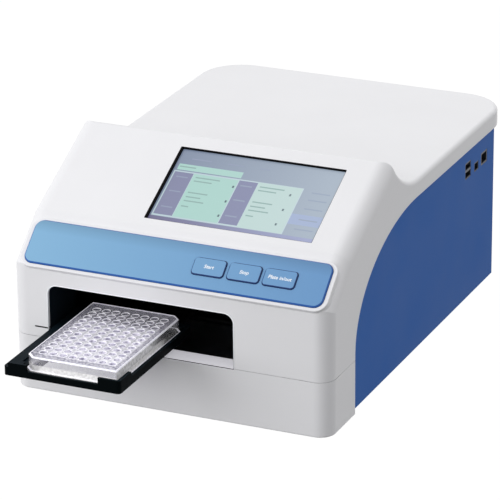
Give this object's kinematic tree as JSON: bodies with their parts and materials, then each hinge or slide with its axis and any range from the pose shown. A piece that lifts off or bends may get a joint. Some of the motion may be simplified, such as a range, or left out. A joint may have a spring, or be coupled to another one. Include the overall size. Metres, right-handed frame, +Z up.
{
  "type": "microplate reader",
  "caption": "Bench microplate reader with a motor-driven plate tray, sloped touch screen, control strip with press keys, and a filter wheel with lamp and detector inside.",
  "frame": {"origin": "middle of the footprint of the whole part with its tray out, on the surface it stands on", "axes": "+Z up, +Y from the front to the back, +X to the right as seen from the front"},
  "size_m": [0.2908, 0.517, 0.2012],
  "materials": {
    "white_plastic": "fine satin moulding",
    "blue_paint": "smooth blue powder coat on sheet",
    "zinc_steel": "plated sheet",
    "rubber": "matt black rubber",
    "brushed_metal": "brushed along the sill",
    "black_metal": "satin black anodised",
    "screen_glass": "touch panel",
    "display": "lit display",
    "blue_plastic": "satin light blue",
    "key_plastic": "satin light blue keys",
    "circuit_board": "green solder mask",
    "brass": "turned",
    "connector_metal": "nickel shells",
    "black_plastic": "moulded black",
    "machined_aluminium": "machined",
    "ground_steel": "ground",
    "motor_metal": "black and bare metal",
    "belt_rubber": "toothed belt",
    "clear_plate": "clear polystyrene",
    "lens_glass": "optical glass",
    "filter_glass": "interference filters"
  },
  "bodies": {
    "casing": {"upper_shell": "white_plastic", "lower_shell": "white_plastic", "left_side_panel": "blue_paint", "right_side_panel": "blue_paint", "rear_panel": "blue_paint", "base_plate": "zinc_steel", "rubber_feet": "rubber", "sill_plate": "brushed_metal", "chamber_hood": "black_metal", "touch_glass": "screen_glass", "display_module": "display", "strip_pad": "blue_plastic", "key_board": "circuit_board", "main_board": "circuit_board", "board_standoffs": "brass", "usb_stack": "connector_metal", "device_port": "connector_metal", "network_jack": "connector_metal", "power_supply": "zinc_steel", "power_inlet": "black_plastic", "switch_frame": "black_plastic", "fan_frame": "black_plastic", "left_frame": "machined_aluminium", "right_frame": "machined_aluminium", "cross_rods": "ground_steel", "cross_motor": "motor_metal", "optics_bridge": "machined_aluminium", "read_head": "black_metal", "read_lens": "lens_glass", "wheel_motor": "motor_metal", "lamp_house": "machined_aluminium", "halogen_lamp": "lens_glass", "condenser_lens": "lens_glass", "detector_arm": "machined_aluminium", "photodiode": "black_plastic", "case_screws": "ground_steel"},
    "stage": {"cross_carriage": "machined_aluminium", "tray_rail": "ground_steel", "drive_belt": "belt_rubber", "tray_motor": "motor_metal"},
    "tray": {"tray_slider": "machined_aluminium", "belt_clamp": "machined_aluminium", "plate_tray": "black_metal", "plate_spring": "ground_steel", "microplate": "clear_plate"},
    "cross_screw": {"cross_screw": "ground_steel"},
    "drive_pulley": {"drive_pulley": "machined_aluminium"},
    "idler_pulley": {"idler_pulley": "machined_aluminium"},
    "start_key": {"start_key": "key_plastic"},
    "stop_key": {"stop_key": "key_plastic"},
    "plate_key": {"plate_key": "key_plastic"},
    "filter_wheel": {"filter_wheel": "black_metal", "filter_discs": "filter_glass"},
    "fan_rotor": {"fan_rotor": "black_plastic"},
    "power_rocker": {"power_rocker": "black_plastic"}
  },
  "joints": [
    {"name": "stage_slide", "type": "slide", "parent": "casing", "child": "stage", "axis": [1, 0, 0], "range_m": [-0.003, 0.06]},
    {"name": "tray_slide", "type": "slide", "parent": "stage", "child": "tray", "axis": [0, 1, 0], "range_m": [0, 0.22292]},
    {"name": "screw_spin", "type": "hinge", "parent": "casing", "child": "cross_screw", "pos_m": [0, -0.0075, 0.022], "axis": [1, 0, 0], "range_deg": [-1801, 91]},
    {"name": "drive_spin", "type": "hinge", "parent": "stage", "child": "drive_pulley", "pos_m": [-0.083, 0.12342, 0.04], "axis": [-1, 0, 0], "range_deg": [-1, 2242]},
    {"name": "idler_spin", "type": "hinge", "parent": "stage", "child": "idler_pulley", "pos_m": [-0.083, -0.1385, 0.04], "axis": [-1, 0, 0], "range_deg": [-1, 2242]},
    {"name": "start_key_press", "type": "slide", "parent": "casing", "child": "start_key", "axis": [0, 0.6561, -0.7547], "range_m": [0, 0.0008], "stiffness_N_per_m": 900},
    {"name": "stop_key_press", "type": "slide", "parent": "casing", "child": "stop_key", "axis": [0, 0.6561, -0.7547], "range_m": [0, 0.0008], "stiffness_N_per_m": 900},
    {"name": "plate_key_press", "type": "slide", "parent": "casing", "child": "plate_key", "axis": [0, 0.6561, -0.7547], "range_m": [0, 0.0008], "stiffness_N_per_m": 900},
    {"name": "filter_wheel_spin", "type": "hinge", "parent": "casing", "child": "filter_wheel", "pos_m": [0.00856, -0.0185, 0.116], "axis": [0, 0, 1], "continuous": true},
    {"name": "fan_spin", "type": "hinge", "parent": "casing", "child": "fan_rotor", "pos_m": [-0.07, 0.2105, 0.089], "axis": [0, 1, 0], "continuous": true},
    {"name": "power_rocker_tilt", "type": "hinge", "parent": "casing", "child": "power_rocker", "pos_m": [0.062, 0.2175, 0.047], "axis": [1, 0, 0], "range_deg": [0, 16]}
  ],
  "couplings": [
    {"joint": "screw_spin", "follows": "stage_slide", "rad_per_m": -523.6},
    {"joint": "drive_spin", "follows": "tray_slide", "rad_per_m": 175.44},
    {"joint": "idler_spin", "follows": "tray_slide", "rad_per_m": 175.44}
  ]
}
